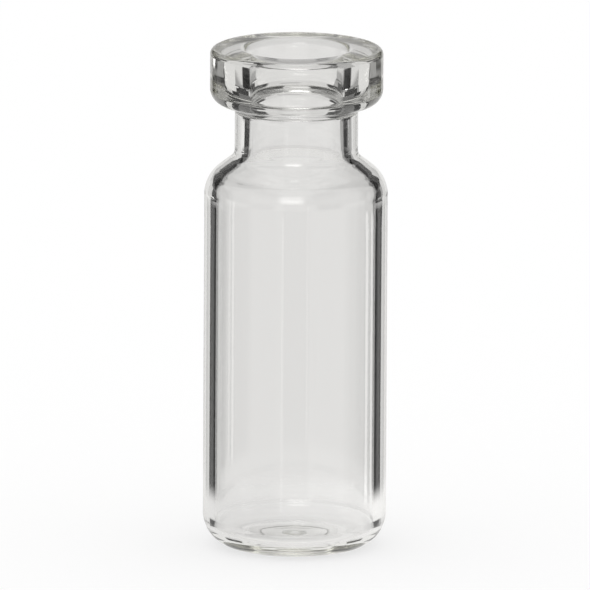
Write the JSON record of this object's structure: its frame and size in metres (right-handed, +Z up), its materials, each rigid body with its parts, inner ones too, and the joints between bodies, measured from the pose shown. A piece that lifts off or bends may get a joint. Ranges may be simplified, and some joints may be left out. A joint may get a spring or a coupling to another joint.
{
  "type": "glass sample vial",
  "caption": "Small clear glass sample vial: a straight body on a rounded foot, a sloping shoulder, a narrow neck and a wider crimp head round an open mouth.",
  "frame": {"origin": "centre of the foot, on the plane that the vial stands on", "axes": "+Z up along the vial's axis and out of its mouth; X and Y are any two level directions, because the vial is round"},
  "size_m": [0.0116, 0.0116, 0.032],
  "materials": {
    "clear_glass": "clear, fire polished"
  },
  "bodies": {
    "root": {"glass_vial": "clear_glass"}
  },
  "joints": []
}
